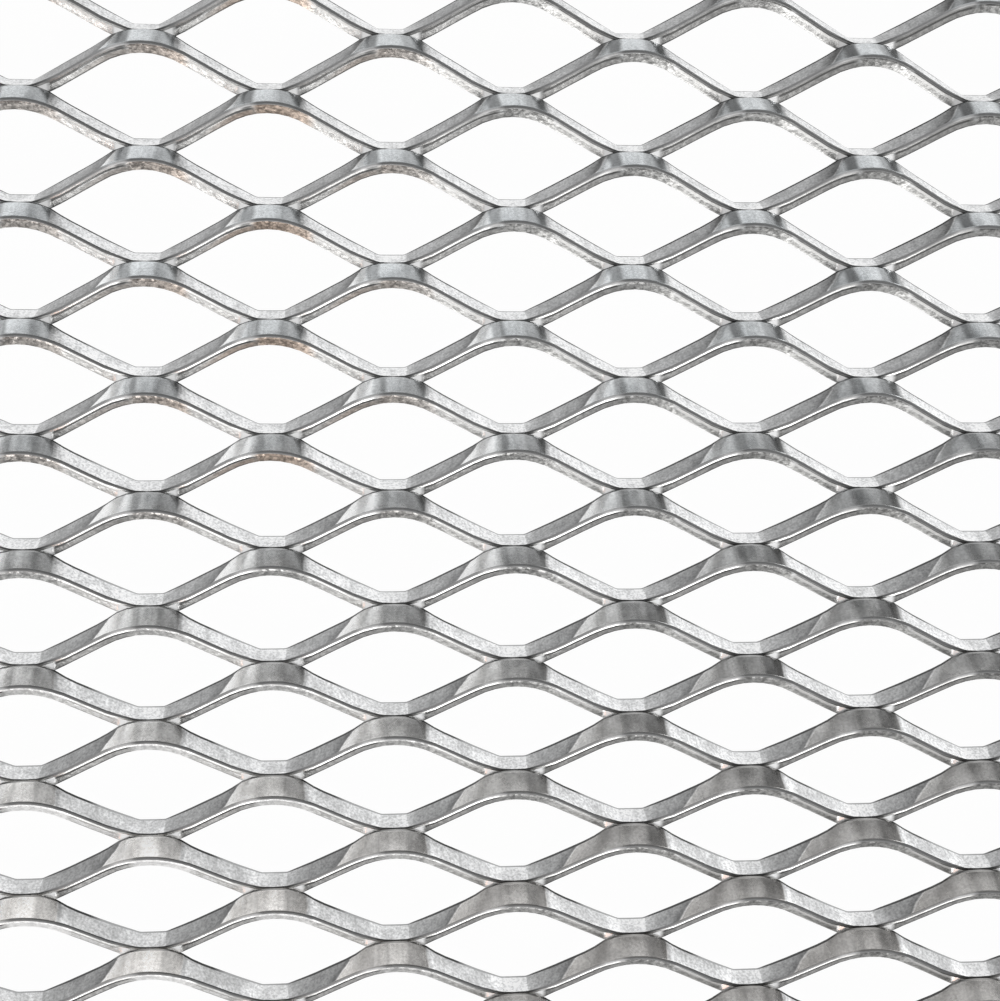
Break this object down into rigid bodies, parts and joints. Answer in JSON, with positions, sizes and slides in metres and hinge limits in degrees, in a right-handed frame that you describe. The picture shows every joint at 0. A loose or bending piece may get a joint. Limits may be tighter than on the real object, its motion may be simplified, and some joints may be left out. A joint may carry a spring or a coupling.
{
  "type": "expanded metal mesh sheet",
  "caption": "Sheet of raised expanded aluminium mesh with long diamonds, cut square, for a car grille or vent.",
  "frame": {"origin": "centre of the bounding box at the face that the sheet lies on", "axes": "+X along the long way of the diamonds, +Y along the short way towards the far edge, +Z out of the face whose strands open towards the viewer"},
  "size_m": [0.3, 0.296, 0.0064],
  "materials": {
    "mesh": "bare mill finish, satin, with glossier pressed arches and sheared edges"
  },
  "bodies": {
    "root": {"lower_band": "mesh", "lower_middle_band": "mesh", "upper_middle_band": "mesh", "upper_band": "mesh"}
  },
  "joints": []
}
